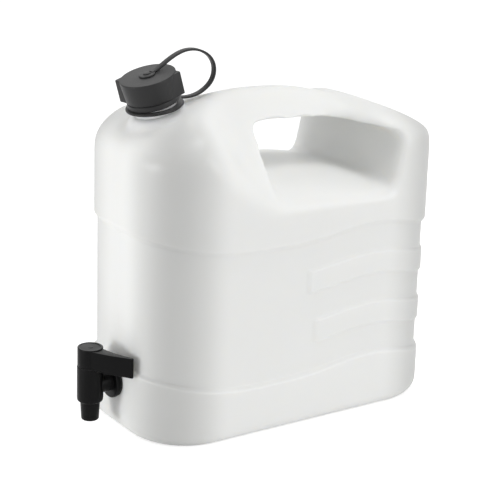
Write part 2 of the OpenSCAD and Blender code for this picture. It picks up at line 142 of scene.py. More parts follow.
def roundedPath(points, trims, closed=False, steps=5):
    # a polyline whose corners are parabolas that start one trim before each corner
    points = np.asarray(points, float)
    trims = np.asarray(trims, float)[:, None]
    before = np.roll(points, 1, -2) - points
    after = np.roll(points, -1, -2) - points
    before /= np.linalg.norm(before, axis=-1, keepdims=True)
    after /= np.linalg.norm(after, axis=-1, keepdims=True)
    a, b = points + before * trims, points + after * trims
    f = np.linspace(0, 1, steps)[:, None]
    arcs = (1 - f) ** 2 * a[..., None, :] + 2 * f * (1 - f) * points[..., None, :] + f ** 2 * b[..., None, :]
    if not closed:
        arcs = arcs.reshape(-1, 2)
        return np.concatenate([points[:1], arcs[steps:-steps], points[-1:]])
    return arcs.reshape(arcs.shape[:-3] + (-1, 2))


def cutCorners(points, passes):
    # each pass replaces every inner corner by two points a quarter of the way along its sides
    for _ in range(passes):
        cut = np.stack([0.75 * points[:-1] + 0.25 * points[1:], 0.25 * points[:-1] + 0.75 * points[1:]], 1)
        points = np.concatenate([points[:1], cut.reshape(-1, points.shape[1]), points[-1:]])
    return points


def onNeck(points):
    # a point drawn about the neck's upright axis, leant over by the tilt and set on the neck's root
    t = np.radians(neck["tilt"])
    x, y, z = points[..., 0], points[..., 1], points[..., 2]
    along = x * np.cos(t) - z * np.sin(t) + neck["x"]
    return np.stack([along, y, x * np.sin(t) + z * np.cos(t) + neck["z"]], -1)


def alongX(points, x, z):
    # a point drawn about the Z axis, laid along +X
    return np.stack([points[..., 2] + x, points[..., 1], z - points[..., 0]], -1)


def turnedAbout(points, degrees):
    # a point turned anticlockwise about the Z axis
    a = np.radians(degrees)
    return points @ np.array([[np.cos(a), np.sin(a), 0], [-np.sin(a), np.cos(a), 0], [0, 0, 1]])


def edited(mesh, change):
    # the mesh after change() has worked on its editable form
    work = bmesh.new()
    work.from_mesh(mesh)
    change(work)
    work.to_mesh(mesh)
    work.free()
    return mesh


def merge(work):
    bmesh.ops.remove_doubles(work, verts=work.verts, dist=2e-6)


def cutAt(work, z, **cleared):
    # a level cut at height z, in millimetres, that clears one side
    return bmesh.ops.bisect_plane(work, geom=work.verts[:] + work.edges[:] + work.faces[:], dist=1e-7,
                                  plane_co=(0, 0, z * mm), plane_no=(0, 0, 1), **cleared)


def rawMesh(name, shells, frameX=0.0):
    # one mesh of several closed shells, in metres, with the poles' doubles merged
    points, faces, start = [], [], 0
    for shellPoints, shellFaces in shells:
        points.append(np.asarray(shellPoints, float).reshape(-1, 3) + [frameX, 0, 0])
        faces += [[v + start for v in face] for face in shellFaces]
        start += len(points[-1])
    mesh = bpy.data.meshes.new(name)
    mesh.from_pydata((np.concatenate(points) * mm).tolist(), [], faces)
    return edited(mesh, merge)


def addObject(name, data):
    item = bpy.data.objects.new(name, data)
    bpy.context.scene.collection.objects.link(item)
    return item


def addPiece(name, mesh, body, material, slotName, *nodes, sharp=None):
    piece = addObject(name, mesh)
    mesh.polygons.foreach_set("use_smooth", np.full(len(mesh.polygons), True))
    if sharp:
        mesh.set_sharp_from_angle(angle=np.radians(sharp))
    mesh.materials.clear()
    mesh.materials.append(material)
    if body:
        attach(piece, body)
    if nodes:
        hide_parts(*nodes)
    print("%s: %d triangles" % (name, sum(len(p.vertices) - 2 for p in mesh.polygons)))
    return piece


def baked(piece):
    # the mesh that the piece's modifiers make
    graph = bpy.context.evaluated_depsgraph_get()
    mesh = bpy.data.meshes.new_from_object(piece.evaluated_get(graph))
    bpy.data.objects.remove(piece)
    return mesh


# Materials
# in the black finishes the second, lighter colour is a painted sheen for their tops
finish = {
    "milky": {"color": (0.875, 0.88, 0.865, 1), "rough": 0.4, "specular": 0.4, "drift": 0.02,
              "driftScale": 14, "grain": 900, "grainDepth": 0.00006, "scuffs": 0.06,
              "glow": 0.6, "glowRadius": (1.0, 0.95, 0.85), "glowScale": 0.012,
              "waviness": 26, "wavinessDepth": 0.0006, "partingWidth": 0.0005, "partingDepth": 0.00025,
              "cornerShadeShare": 0.38},
    "black": {"color": (0.013, 0.013, 0.0135, 1), "rough": 0.42, "specular": 0.28, "drift": 0.12,
              "driftScale": 40, "grain": 1500, "grainDepth": 0.00008, "scuffs": 0.12,
              "paintedSheen": (0.05, 0.05, 0.05, 1)},
    "tap": {"color": (0.003, 0.003, 0.0032, 1), "rough": 0.34, "specular": 0.09, "drift": 0.12,
            "driftScale": 40, "grain": 1500, "grainDepth": 0.00008, "scuffs": 0.1,
            "paintedSheen": (0.07, 0.07, 0.07, 1)},
    "rubber": {"color": (0.018, 0.018, 0.018, 1), "rough": 0.7, "specular": 0.3, "drift": 0.2,
               "driftScale": 60, "grain": 1100, "grainDepth": 0.00012, "scuffs": 0.1},
}
# the painted shade on the wall's rounded corners starts this far before the corner, and is full at this share
# of its radius before the can's end
cornerShadeReach = {"before": 14, "full": 0.3}
# the levels between which the scuffs and the painted sheen on the tops set in, and how far the grain moves
# the roughness
masks = {"scuffs": (0.62, 0.75), "paintedSheen": (0.75, 0.97), "speckle": 0.05}


def newGroup(name, inputs, outputs):
    group = bpy.data.node_groups.new(name, "ShaderNodeTree")
    for label, value in inputs.items():
        kind = "NodeSocketColor" if isinstance(value, tuple) else "NodeSocketFloat"
        group.interface.new_socket(label, in_out="INPUT", socket_type=kind).default_value = value
    for label in outputs:
        kind = "NodeSocketColor" if label == "Color" else "NodeSocketFloat"
        group.interface.new_socket(label, in_out="OUTPUT", socket_type=kind)
    return group, group.nodes.new("NodeGroupInput").outputs, group.nodes.new("NodeGroupOutput").inputs


def addNode(tree, kind, values={}, **settings):
    node = tree.nodes.new(kind)
    for key, value in settings.items():
        setattr(node, key, value)
    for key, value in values.items():
        if isinstance(value, bpy.types.NodeSocket):
            tree.links.new(value, node.inputs[key])
        else:
            node.inputs[key].default_value = value
    return node


def calc(tree, operation, *values):
    return addNode(tree, "ShaderNodeMath", dict(enumerate(values)), operation=operation).outputs[0]


def objectPlace(tree):
    return addNode(tree, "ShaderNodeTexCoord").outputs["Object"]


def splitAxes(tree, vector):
    return addNode(tree, "ShaderNodeSeparateXYZ", {0: vector}).outputs


def noise(tree, place, scale, detail, distortion=0.0):
    return addNode(tree, "ShaderNodeTexNoise", {"Vector": place, "Scale": scale, "Detail": detail,
                                                "Distortion": distortion}).outputs["Fac"]


def spread(tree, value, low, high, first=0.0, last=1.0, kind="LINEAR"):
    # maps low to high onto first to last
    values = {"Value": value, "From Min": low, "From Max": high, "To Min": first, "To Max": last}
    return addNode(tree, "ShaderNodeMapRange", values, interpolation_type=kind).outputs[0]


def scaledColor(tree, color, factor):
    return addNode(tree, "ShaderNodeVectorMath", {0: color, "Scale": factor}, operation="SCALE").outputs[0]


def mouldGrainGroup():
    # the fine spark-eroded grain of the mould: a small noise over one three times as large
    group, given, made = newGroup("mouldGrain", {"Scale": 900.0}, ["Height", "Speckle"])
    place = objectPlace(group)
    third = calc(group, "MULTIPLY", given["Scale"], 0.33)
    broad = noise(group, place, third, 1.0)
    height = calc(group, "ADD", noise(group, place, given["Scale"], 2.0), broad)
    group.links.new(height, made["Height"])
    group.links.new(broad, made["Speckle"])
    return group


def toneDriftGroup():
    # a slow change of tone over the moulding: the colour times 1 plus or minus half the drift
    inputs = {"Color": (0.8, 0.8, 0.8, 1), "Drift": 0.05, "Scale": 20.0}
    group, given, made = newGroup("toneDrift", inputs, ["Color"])
    centred = calc(group, "SUBTRACT", noise(group, objectPlace(group), given["Scale"], 3.0), 0.5)
    factor = calc(group, "ADD", calc(group, "MULTIPLY", centred, given["Drift"]), 1.0)
    group.links.new(scaledColor(group, given["Color"], factor), made["Color"])
    return group


def scuffGroup():
    # thin, sparse handling marks: the narrow crests of a stretched, warped noise
    group, given, made = newGroup("scuffs", {"Scale": 60.0, "Amount": 0.1}, ["Mask"])
    stretch = addNode(group, "ShaderNodeMapping", {"Vector": objectPlace(group), "Rotation": (0.3, 0.5, 0.9),
                                                   "Scale": (1.0, 7.0, 2.0)})
    streak = noise(group, stretch.outputs[0], given["Scale"], 4.0, 0.6)
    mask = calc(group, "MULTIPLY", spread(group, streak, *masks["scuffs"]), given["Amount"])
    group.links.new(mask, made["Mask"])
    return group


def cornerShadePaintGroup():
    # painted shade that darkens the rounded corners: how far a point lies past the flat sides in X times how
    # far in Y, each eased from 0 to 1, takes a share off the colour
    group, given, made = newGroup("cornerShadePaint", {"Color": (0.8, 0.8, 0.8, 1), "Share": 0.1}, ["Color"])
    axes = splitAxes(group, objectPlace(group))
    shares = []
    for axis, half, centre in (("X", can["length"] / 2, middleX), ("Y", can["width"] / 2, 0)):
        size = calc(group, "ABSOLUTE", calc(group, "SUBTRACT", axes[axis], centre * mm))
        start = half - can["cornerRadius"] - cornerShadeReach["before"]
        full = half - can["cornerRadius"] * cornerShadeReach["full"]
        shares.append(spread(group, size, start * mm, full * mm, kind="SMOOTHSTEP"))
    paintedShade = calc(group, "MULTIPLY", calc(group, "MULTIPLY", *shares), given["Share"])
    kept = calc(group, "SUBTRACT", 1.0, paintedShade)
    group.links.new(scaledColor(group, given["Color"], kept), made["Color"])
    return group


def topSheenPaintGroup():
    # painted sheen: the colour is lighter where the surface faces up, by the upward part of the normal, eased
    # between two levels
    inputs = {"Color": (0.02, 0.02, 0.02, 1), "PaintedSheenColor": (0.1, 0.1, 0.1, 1)}
    group, given, made = newGroup("topSheenPaint", inputs, ["Color"])
    facing = splitAxes(group, addNode(group, "ShaderNodeNewGeometry").outputs["Normal"])
    mask = spread(group, facing["Z"], *masks["paintedSheen"], kind="SMOOTHSTEP")
    color = addNode(group, "ShaderNodeMix", {0: mask, 6: given["Color"], 7: given["PaintedSheenColor"]}, data_type="RGBA")
    group.links.new(color.outputs[2], made["Color"])
    return group


mouldGrain = mouldGrainGroup()
toneDrift = toneDriftGroup()
scuffs = scuffGroup()
cornerShadePaint = cornerShadePaintGroup()
topSheenPaint = topSheenPaintGroup()


def plasticMaterial(name, look):
    # returns the material, its Principled shader and the bump of its grain
    material = bpy.data.materials.new(name)
    material.use_nodes = True
    tree = material.node_tree
    shader = tree.nodes["Principled BSDF"]
    shader.inputs["Specular IOR Level"].default_value = look["specular"]
    tone = addNode(tree, "ShaderNodeGroup", {"Color": look["color"], "Drift": look["drift"],
                                             "Scale": look["driftScale"]}, node_tree=toneDrift)
    grain = addNode(tree, "ShaderNodeGroup", {"Scale": look["grain"]}, node_tree=mouldGrain)
    marks = addNode(tree, "ShaderNodeGroup", {"Amount": look["scuffs"]}, node_tree=scuffs)
    low, high = look["rough"] - masks["speckle"], look["rough"] + masks["speckle"]
    speckle = spread(tree, grain.outputs["Speckle"], 0.0, 1.0, low, high)
    rough = calc(tree, "ADD", speckle, marks.outputs["Mask"])
    bump = addNode(tree, "ShaderNodeBump", {"Height": grain.outputs["Height"], "Distance": look["grainDepth"],
                                            "Strength": 0.6})
    tree.links.new(tone.outputs["Color"], shader.inputs["Base Color"])
    tree.links.new(rough, shader.inputs["Roughness"])
    tree.links.new(bump.outputs[0], shader.inputs["Normal"])
    return material, shader, bump


def recolor(material, shader, group, values):
    # puts a colour group between the shader's colour and what feeds it
    tree = material.node_tree
    fed = shader.inputs["Base Color"].links[0].from_socket
    changed = addNode(tree, "ShaderNodeGroup", {"Color": fed, **values}, node_tree=group)
    tree.links.new(changed.outputs["Color"], shader.inputs["Base Color"])


def milkyMaterial():
    # natural polyethylene: light goes a few millimetres into the wall; soft hollows from blowing
    # and the fine parting line of the two mould halves in the middle plane
    look = finish["milky"]
    material, shader, bump = plasticMaterial("milkyPlastic", look)
    tree = material.node_tree
    shader.inputs["Subsurface Weight"].default_value = look["glow"]
    shader.inputs["Subsurface Radius"].default_value = look["glowRadius"]
    shader.inputs["Subsurface Scale"].default_value = look["glowScale"]
    shader.inputs["IOR"].default_value = 1.5
    place = objectPlace(tree)
    hollows = noise(tree, place, look["waviness"], 1.0)
    soft = addNode(tree, "ShaderNodeBump", {"Height": hollows, "Distance": look["wavinessDepth"],
                                            "Strength": 0.5, "Normal": bump.outputs[0]})
    across = calc(tree, "ABSOLUTE", splitAxes(tree, place)["Y"])
    line = spread(tree, across, look["partingWidth"] * 0.4, look["partingWidth"], 1.0, 0.0)
    parting = addNode(tree, "ShaderNodeBump", {"Height": line, "Distance": look["partingDepth"],
                                               "Strength": 0.5, "Normal": soft.outputs[0]})
    tree.links.new(parting.outputs[0], shader.inputs["Normal"])
    # painted shade: the colour of the rounded corners is darkened by this share
    recolor(material, shader, cornerShadePaint, {"Share": look["cornerShadeShare"]})
    return material


def darkMaterial(name, look):
    # black plastic with a painted sheen that lightens its tops
    material, shader, _ = plasticMaterial(name, look)
    recolor(material, shader, topSheenPaint, {"PaintedSheenColor": look["paintedSheen"]})
    return material


milkyPlastic = milkyMaterial()
blackPlastic = darkMaterial("blackPlastic", finish["black"])
tapPlastic = darkMaterial("tapPlastic", finish["tap"])
sealRubber = plasticMaterial("sealRubber", finish["rubber"])[0]
print("materials made")


# Container
def girthStations(count):
    # centre, outward normal and share of the half girth (tap end -1, rear 1) at even steps along the
    # rounded rectangle, anticlockwise from the rear; the second half mirrors the first in Y
    r = can["cornerRadius"]
    centreX, centreY = can["length"] / 2 - r, can["width"] / 2 - r
    arc = r * np.pi / 2
    half = centreX + arc + centreY
    a = half * (1 - (2 * np.arange(count // 2) + 1) / (count // 2))
    reach, side = np.abs(a), np.sign(a)
    turn = np.clip((reach - centreX) / r, 0, np.pi / 2)
    first = np.stack([side * np.minimum(reach, centreX), centreY - np.maximum(reach - centreX - arc, 0),
                      side * np.sin(turn), np.cos(turn), a / half], 1)
    return np.concatenate([first, first[::-1] * [1, -1, 1, -1, 1]])


def wave(u):
    # the moulded wave round the can: half cosine waves between its knots
    knots = np.array(can["wave"])
    k = np.clip(np.searchsorted(knots[:, 0], u) - 1, 0, len(knots) - 2)
    a, b = knots[k], knots[k + 1]
    return a[:, 1] + (b[:, 1] - a[:, 1]) * ease((u - a[:, 0]) / (b[:, 0] - a[:, 0]))


def crest(x):
    # height over the middle line: a parabola on each side of the highest point, and two slight swells
    # that even out the line seen in the photograph
    front = can["crest"] - can["fallFront"] * ((x - can["crestX"]) / can["frontLength"]) ** 2
    rear = can["crest"] - can["fallRear"] * ((x - can["crestX"]) / can["rearLength"]) ** 2
    swell = sum(height * np.exp(-((x - at) / width) ** 2) for at, height, width in can["swells"])
    return np.where(x < can["crestX"], front, rear) + swell


def handleShare(x):
    # 1 along the grip, 0 at both ends
    risen = ramp(x, hole["x0"] - can["handleStart"], hole["x0"] - can["handleFull"])
    return risen * (1 - ramp(x, hole["x1"] - can["handleEnd"], hole["x1"] + can["handlePast"]))


def quintic(points, t):
    # a Bezier curve of the fifth degree
    k = np.arange(6)
    weights = np.array([1, 5, 10, 10, 5, 1]) * t[:, None] ** k * (1 - t[:, None]) ** (5 - k)
    return weights @ np.array(points, float)


def unevenRows(low, high, places, coarse=2.5, fine=0.75, reach=3.2):
    # heights from low to high whose spacing tightens round each place
    z = np.linspace(low, high, 4000)
    density = 1 / coarse + sum(np.exp(-((z - p) / reach) ** 2) for p in places) / fine
    total = np.concatenate([[0], np.cumsum((density[1:] + density[:-1]) / 2 * np.diff(z))])
    return np.interp(np.linspace(0, total[-1], int(total[-1]) + 1), total, z)


def lowerWall(stations, top):
    # rows of the rounded rectangle: push-up, foot ring, rolled edge, foot, recess with two ribs, band.
    # A row's height is moved by the wave, whose share is 0 at the foot and at the top
    edge, r = can["baseEdge"], can["cornerRadius"]
    turns = np.radians(np.linspace(0, 90, 9))
    inner = edge + can["footFlat"]
    places = [can["footTop"], can["bandBottom"]]
    places += [z + d for z, _ in can["ribs"] for d in (0, can["ribHeight"])]
    rows = unevenRows(edge, top, places)[1:]
    flat = np.array([[inner + can["pushUp"] + 2, can["pushUp"]], [inner + can["pushUp"], can["pushUp"] - 0.3],
                     [inner + 1.5, 0.7], [inner, 0], [edge + 5, 0]])
    roll = np.stack([edge * (1 - np.sin(turns)), edge * (1 - np.cos(turns))], 1)
    half = can["stepHalf"]
    soft = can["bandHalf"]
    inset = can["recess"] * (ramp(rows, can["footTop"] - half, can["footTop"] + half)
                             - ramp(rows, can["bandBottom"] - soft, can["bandBottom"] + soft))
    profile = np.concatenate([flat, roll, np.stack([inset, rows], 1)])
    z = profile[:, 1:]
    flank = can["ribFlank"]
    sideX = stations[:, 0] + r * stations[:, 2]
    out = r - profile[:, :1] + 0 * sideX
    for low, start in can["ribs"]:
        high = low + can["ribHeight"]
        lift = ramp(z, low - flank, low + flank) - ramp(z, high - flank, high + flank)
        out += can["ribLift"] * lift * ramp(sideX, start, start + can["ribStart"])
    share = ramp(z, edge, can["footTop"] - half) * (1 - ramp(z, can["bandBottom"] + soft, top))
    points = np.stack([stations[:, 0] + stations[:, 2] * out, stations[:, 1] + stations[:, 3] * out,
                       z + share * wave(stations[:, 4])], -1)
    return addBoss(points)


def addBoss(points):
    # round the tap the wall comes out to a flat disc that falls away in half a cosine wave;
    # the two are joined by a smooth maximum
    x, y, z = points[..., 0], points[..., 1], points[..., 2]
    r = np.hypot(y, z - tapBoss["z"])
    fall = (tapBoss["plane"] - tapBoss["wall"]) * ramp(r, tapBoss["radius"], tapBoss["outer"])
    disc = tapBoss["plane"] - fall
    joined = (disc - x + np.sqrt((disc + x) ** 2 + tapBoss["blend"] ** 2)) / 2
    near = (x < 0) & (r < tapBoss["outer"])
    return np.stack([np.where(near, -joined, x), y, z], -1)


def topRows(stations, t):
    # t runs from the wall's edge to the middle line; each station climbs a blend of the round end's
    # curve and the grip's curve towards the crest
    x = stations[:, 0] + stations[:, 2] * can["cornerRadius"]
    y = stations[:, 1] + stations[:, 3] * can["cornerRadius"]
    share = handleShare(x)
    ends, middle = quintic(can["endCurve"], t), quintic(can["midCurve"], t)
    across = ends[:, :1] * (1 - share) + middle[:, :1] * share
    up = ends[:, 1:] * (1 - share) + middle[:, 1:] * share
    low = can["shoulder"] + (can["flank"] - can["shoulder"]) * share
    ridge = x * (1 - can["ridgeShare"] * (np.abs(x) / (can["length"] / 2)) ** 4)
    along = ridge + (x - ridge) * across
    return np.stack([along, y * across, low + (crest(along) - low) * up], -1)


def upperSolid(stations, low):
    # the closed top of the can, from a flat cut below the seam up to the crest
    r = can["cornerRadius"]
    wallRow = np.stack([stations[:, 0] + stations[:, 2] * r, stations[:, 1] + stations[:, 3] * r,
                        np.full(len(stations), float(low))], -1)
    t = np.linspace(0, can["ridgeEnd"], can["topRows"])
    points = np.concatenate([wallRow[None], topRows(stations, t)])
    rows, columns = points.shape[:2]
    ridge = bridgeFaces((rows - 1) * columns, columns)
    return points.reshape(-1, 3), gridFaces(rows, columns) + ridge + firstCap(columns)


def handHole(steps=73):
    # a slot through the can: at each y one six-cornered outline with rounded corners, from the floor's
    # front to the grip's front; the floor rolls down towards both sides as a superellipse
    y = np.linspace(-hole["reach"], hole["reach"], steps) * can["width"] / 2
    half = can["width"] / 2
    rolled = np.sqrt(np.maximum(0, 1 - (np.abs(y) / half / hole["reach"]) ** hole["roll"]))
    front = hole["floorEdge"] + (hole["floor"] - hole["floorEdge"]) * rolled
    rear = hole["floorEdge"] + (hole["floor"] - hole["fall"] - hole["floorEdge"]) * rolled
    frontX = hole["x0"] - hole["lean"] - hole["flare"] * (np.abs(y) / half) ** 2
    under = hole["gripUnder"]
    rearUnder = under - hole["fall"] + hole["rearLift"]
    corners = np.zeros((steps, 6, 2))
    corners[:, 0, 0] = frontX
    corners[:, 1:, 0] = [hole["middle"], hole["floorX1"], hole["x1"], hole["middle"], hole["x0"]]
    corners[:, :2, 1] = front[:, None]
    corners[:, 2, 1] = rear
    corners[:, 3:, 1] = [rearUnder, under, under + hole["frontLift"]]
    outline = roundedPath(corners, hole["trims"], closed=True, steps=7)
    return loft(np.stack([outline[..., 0], y[:, None] + 0 * outline[..., 0], outline[..., 1]], -1))


def neckShells():
    # the neck: a tube with a bead and a rounded lip, and a thread as a fading ridge along a helix
    r, bead, lip, low = neck["radius"], neck["bead"], neck["lip"], -neck["sunk"]
    bore, top, out = r - neck["wall"], neck["height"], r + neck["beadOut"]
    outline = roundedPath(
        [[bore, low], [r, low], [r, bead], [out, bead + 0.5], [out, bead + 1.2], [r, bead + 1.8], [r, top],
         [bore, top]],
        [0, 0, 0.3, 0.3, 0.3, 0.3, lip, lip], closed=True, steps=4)
    tube, tubeFaces = lathe(outline, 120, closed=True)
    turn = np.linspace(0, neck["threadTurns"] * 2 * np.pi, 240)
    fade = np.sqrt(np.clip(np.minimum(turn, turn[-1] - turn) / 0.5, 0.002, 1))[:, None]
    section = roundedPath(neck["threadSection"], [0, 0.2, 0.2, 0], closed=True, steps=3)
    turn = turn[:, None]
    radius = r + section[:, 0] * neck["threadDepth"] * fade
    height = neck["threadFrom"] + turn / (2 * np.pi) * neck["threadPitch"] + section[:, 1] * fade
    thread, threadFaces = loft(np.stack([radius * np.cos(turn), radius * np.sin(turn), height], -1))
    return [(onNeck(tube), tubeFaces), (onNeck(thread), threadFaces)]


def neckRoot():
    # the solid flare under the neck, which is fused with the top
    flare = [[neck["radius"] + out, z] for out, z in neck["flare"]]
    points, faces = lathe([[0, flare[0][1]]] + flare + [[0, flare[-1][1]]], 120)
    return onNeck(points), faces


def closedObject(name, shell):
    # an object of one shell with its faces turned outwards
    mesh = rawMesh(name, [shell])
    return addObject(name, edited(mesh, lambda work: bmesh.ops.recalc_face_normals(work, faces=work.faces)))


def upperShell(stations):
    # the top with the hand hole cut through it and the neck's root fused on, remeshed and softened
    solid = closedObject("upper", upperSolid(stations, can["seam"] - can["overlap"]))
    cutter = closedObject("cutter", handHole())
    root = closedObject("root", neckRoot())
    for other, operation in ((cutter, "DIFFERENCE"), (root, "UNION")):
        change = solid.modifiers.new(operation, "BOOLEAN")
        change.object = other
        change.operation = operation
        change.solver = "EXACT"
    remesh = solid.modifiers.new("remesh", "REMESH")
    remesh.mode = "VOXEL"
    remesh.voxel_size = can["voxel"] * mm
    soften = solid.modifiers.new("soften", "SMOOTH")
    soften.factor = 0.5
    soften.iterations = can["softening"]
    mesh = baked(solid)
    bpy.data.objects.remove(cutter)
    bpy.data.objects.remove(root)
    return mesh


def meshPoints(mesh):
    points = np.zeros(len(mesh.vertices) * 3)
    mesh.vertices.foreach_get("co", points)
    return points.reshape(-1, 3) / mm


def movePoints(mesh, points):
    mesh.vertices.foreach_set("co", (points * mm).ravel())
    return mesh


def rimWeight(points, region):
    # the product of the ramps that a region sets in and fades with
    axes = {"x": points[:, 0], "y": np.abs(points[:, 1]), "z": points[:, 2]}
    weight = region["share"]
    for axis, low, high in region["rises"]:
        weight = weight * ramp(axes[axis], low, high)
    for axis, low, high in region["falls"]:
        weight = weight * (1 - ramp(axes[axis], low, high))
    return weight


def eased(mesh):
    # rounds the hand hole's rim: points there move towards the mean of their neighbours
    points = meshPoints(mesh)
    ends = np.zeros(len(mesh.edges) * 2, int)
    mesh.edges.foreach_get("vertices", ends)
    a, b = ends.reshape(-1, 2).T
    count = len(points)
    degree = np.maximum(np.bincount(np.concatenate([a, b]), minlength=count), 1)[:, None]
    weight = np.max([rimWeight(points, rims[name]) for name in ("lower", "rear", "grip")], 0)[:, None]
    for _ in range(rims["passes"]):
        total = np.stack([np.bincount(a, points[b, k], count) + np.bincount(b, points[a, k], count)
                          for k in range(3)], 1)
        points = points + weight * (total / degree - points)
    return movePoints(mesh, points)


def snapToWall(points):
    # just above the seam each point is brought to the exact rounded rectangle
    r = can["cornerRadius"]
    limit = np.array([can["length"] / 2 - r, can["width"] / 2 - r])
    flat = points[:, :2]
    centre = np.clip(flat, -limit, limit)
    away = flat - centre
    exact = centre + away / np.maximum(np.linalg.norm(away, axis=1, keepdims=True), 1e-9) * r
    weight = 1 - ramp(points[:, 2:], can["seam"] + 2, can["seam"] + 6)
    return np.concatenate([flat + (exact - flat) * weight, points[:, 2:]], 1)


def containerMesh():
    # the lower wall's rows, bridged to the top's lower rim, and the neck set on it
    stations = girthStations(can["columns"])
    lower = lowerWall(stations, can["seam"] - 1)
    rows, columns = lower.shape[:2]
    upper = edited(eased(upperShell(stations)), lambda work: cutAt(work, can["seam"] + 1, clear_inner=True))
    movePoints(upper, snapToWall(meshPoints(upper)))
    mesh = rawMesh("container", [(lower.reshape(-1, 3), gridFaces(rows, columns) + firstCap(columns))])
    work = bmesh.new()
    work.from_mesh(mesh)
    work.from_mesh(upper)
    bmesh.ops.bridge_loops(work, edges=[edge for edge in work.edges if edge.is_boundary])
    left = sum(edge.is_boundary for edge in work.edges)
    work.from_mesh(rawMesh("neck", neckShells()))
    bmesh.ops.translate(work, verts=work.verts, vec=(middleX * mm, 0, 0))
    print("container: %d open edges, volume %.1f cm3" % (left, work.calc_volume(signed=True) * 1e6))
    work.to_mesh(mesh)
    work.free()
    return mesh


addPiece("jerrycanBody", containerMesh(), "can", milkyPlastic, "milky_hdpe", "container")


# Cap
cap = {
    "radius": 24, "skirtRadius": 22.2, "bore": 20.1, "height": 24.3, "top": 2.4, "sealRoom": 1.7,
    "bandHeight": 4.4, "wingReach": 4.2, "wingHeight": 19.4, "wingDrop": 0.6, "wingTurn": -44, "wingBack": 16,
    "wingTip": 1.6, "wingRoot": 0.8, "wingSunk": 2.4, "wingEdge": 0.7, "wingLead": 0.14, "wingFade": 1.4,
    "studRadius": 2.4, "headRoom": 1.6,
}
cap["z1"] = neck["height"] + cap["sealRoom"] + cap["top"]
cap["z0"] = cap["z1"] - cap["height"]


def capShell():
    # the cap without its wings: from the roof's underside down the bore, round the band and up to the
    # stud's head
    z1, z0, r, skirt, bore = cap["z1"], cap["z0"], cap["radius"], cap["skirtRadius"], cap["bore"]
    band, stud, head, under = z0 + cap["bandHeight"], cap["studRadius"], z1 + cap["headRoom"], z1 - cap["top"]
    profile = roundedPath(
        [[0, under], [bore, under], [bore, z0], [skirt, z0], [skirt, band], [skirt - 0.7, band + 0.3],
         [skirt - 0.5, band + 0.9], [skirt + 0.1, band + 1.2], [r, z1 - 0.2], [r - 1.4, z1], [stud, z1],
         [stud, head], [stud + 1, head + 0.1], [stud + 0.4, head + 0.7], [0, head + 1]],
        [0, 0.8, 0.4, 0.5, 0.3, 0.1, 0.1, 0.3, 0.75, 0.75, 0.4, 0.05, 0.05, 0.3, 0], steps=5)
    return lathe(profile, 144)


def roundedEdge(edge, low, high, degrees):
    # how far an outline stands in, and its height, along a round lower and a round upper edge
    turns = np.radians(degrees)
    inset = edge * (1 - np.sin(turns))
    height = edge * (1 - np.cos(turns))
    return np.concatenate([inset, inset[::-1]]), np.concatenate([low + height, high - height[::-1]])


def wingShell():
    # a wing leaves the cap along a tangent and ends in a step; its root lies in the cap's wall, and its
    # rounded edges fade out there
    r, skirt, reach = cap["radius"], cap["skirtRadius"], cap["radius"] + cap["wingReach"]
    start = -np.arccos(r / reach) - cap["wingLead"]
    back = np.radians(cap["wingBack"])
    arc = np.linspace(back, start, 7)
    inner = (cap["bore"] + cap["wingRoot"]) * np.stack([np.cos(arc), np.sin(arc)], 1)
    sunk = r - cap["wingSunk"]
    outer = [[sunk * np.cos(start), sunk * np.sin(start)], [reach, 0], [reach - 0.5, cap["wingTip"]],
             [skirt * np.cos(back), skirt * np.sin(back)]]
    outline = roundedPath(np.concatenate([inner, outer]), [0.01] * 7 + [0.05, 0.7, 0.7, 0.05],
                          closed=True, steps=5)
    top = cap["z1"] - cap["wingDrop"]
    inset, height = roundedEdge(cap["wingEdge"], top - cap["wingHeight"], top, [0, 30, 60, 90])
    tangent = np.roll(outline, -1, 0) - np.roll(outline, 1, 0)
    outward = np.stack([tangent[:, 1], -tangent[:, 0]], 1) / np.linalg.norm(tangent, axis=1, keepdims=True)
    bared = np.clip((np.hypot(*outline.T) - skirt) / cap["wingFade"], 0, 1)[None, :, None]
    flat = outline[None] - outward[None] * inset[:, None, None] * bared
    return loft(np.concatenate([flat, np.broadcast_to(height[:, None, None], flat.shape[:2] + (1,))], -1))


def capShells():
    wing, wingFaces = wingShell()
    wings = [(turnedAbout(wing, cap["wingTurn"] + half), wingFaces) for half in (0, 180)]
    return [(onNeck(points), faces) for points, faces in [capShell()] + wings]


capMesh = rawMesh("screwCap", capShells(), middleX)
addPiece("screwCap", capMesh, "cap", blackPlastic, "black_pe", "cap", sharp=50)


# Tether
tether = {
    "ringRadius": 24.6, "ringBore": 19, "ringHeight": 13.2, "ringSlope": 5.5, "thickness": 2, "width": 5.4,
    "headRadius": 7.2, "headThickness": 1.2, "play": 0.3, "bendFrom": 13, "bendTo": 38,
    "path": [[22.1, 11.2], [27.4, 10.2], [31.2, 8.8], [37.2, 7.7], [43.3, 7.6], [49.3, 8.9], [55, 11.3],
             [59.7, 15.3], [62.7, 21.1], [63.3, 28.1], [60.8, 35.2], [55.3, 41.4], [48.1, 46], [39.9, 48.3],
             [31.8, 48.2], [24, 46.7], [16.4, 44.4], [9.8, 42.5], [6, 42], [4, 42]],
}


def ringShell():
    # a flat ring that slopes down to the rear
    half, inner, outer = tether["thickness"] / 2, tether["ringBore"], tether["ringRadius"]
    ring = roundedPath([[inner, -half], [outer, -half], [outer, half], [inner, half]], [0.3, 0.8, 0.8, 0.3],
                       closed=True, steps=5)
    points, faces = lathe(ring, 128, closed=True)
    slope = np.radians(tether["ringSlope"])
    x, y, z = points.T
    height = z * np.cos(slope) - x * np.sin(slope) + tether["ringHeight"]
    return np.stack([x * np.cos(slope) + z * np.sin(slope), y, height], 1), faces


